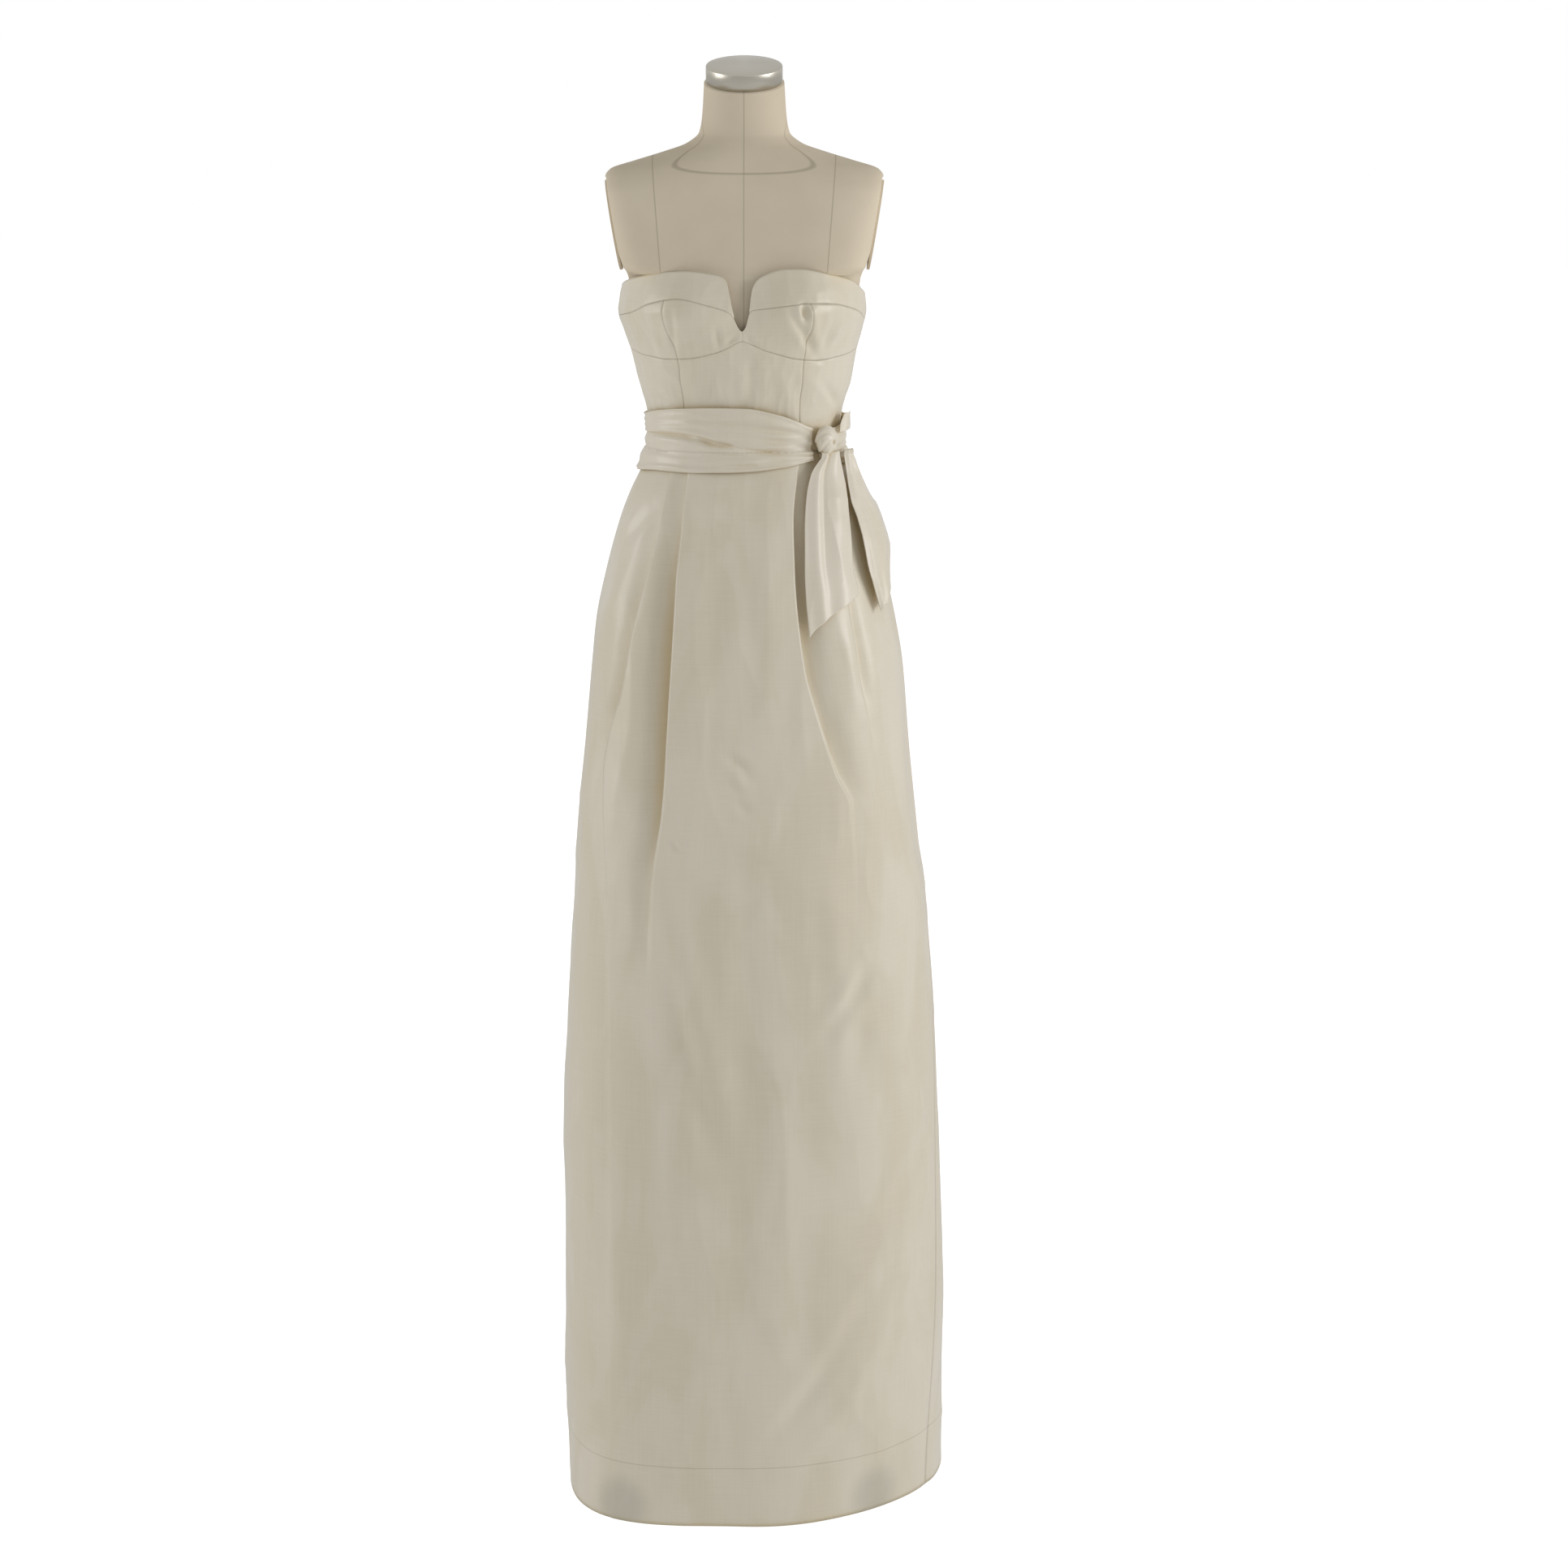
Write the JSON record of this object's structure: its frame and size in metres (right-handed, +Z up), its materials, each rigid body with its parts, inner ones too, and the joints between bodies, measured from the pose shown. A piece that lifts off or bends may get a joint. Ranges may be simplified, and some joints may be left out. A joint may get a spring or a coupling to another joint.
{
  "type": "wedding dress on a limbless dress form",
  "caption": "Strapless ivory taffeta wedding dress with a V-notched bodice, pleated A-line skirt and tied sash, standing on a linen dress form.",
  "frame": {"origin": "on the floor, in the middle of the outside box, under the dress form", "axes": "+Z up; the gown faces -Y; +X is the side where the sash is tied"},
  "size_m": [0.4622, 0.456, 1.6988],
  "materials": {
    "silk_taffeta": "crisp ivory silk taffeta with a soft sheen",
    "silk_taffeta_sash": "the same taffeta, crushed",
    "linen": "plain-woven linen over a hard shell",
    "brushed_steel": "brushed",
    "painted_steel": "satin grey-green paint",
    "rubber": "matt"
  },
  "bodies": {
    "root": {"bodice_band_left": "silk_taffeta", "bodice_band_right": "silk_taffeta", "cup_outer_left": "silk_taffeta", "cup_inner_left": "silk_taffeta", "cup_inner_right": "silk_taffeta", "cup_outer_right": "silk_taffeta", "midriff_side_left": "silk_taffeta", "midriff_front": "silk_taffeta", "midriff_side_right": "silk_taffeta", "bodice_back_left": "silk_taffeta", "bodice_back_right": "silk_taffeta", "skirt_front": "silk_taffeta", "skirt_back_left": "silk_taffeta", "skirt_back_right": "silk_taffeta", "sash_upper_wrap": "silk_taffeta_sash", "sash_lower_wrap": "silk_taffeta_sash", "sash_knot": "silk_taffeta_sash", "sash_tail_front": "silk_taffeta_sash", "sash_tail_side": "silk_taffeta_sash", "sash_ear": "silk_taffeta_sash", "form_torso": "linen", "neck_cap": "brushed_steel", "arm_plate_left": "linen", "arm_plate_right": "linen", "stand_pole": "painted_steel", "stand_hub": "painted_steel", "stand_leg_1": "painted_steel", "stand_foot_1": "rubber", "stand_leg_2": "painted_steel", "stand_foot_2": "rubber", "stand_leg_3": "painted_steel", "stand_foot_3": "rubber", "stand_leg_4": "painted_steel", "stand_foot_4": "rubber"}
  },
  "joints": []
}
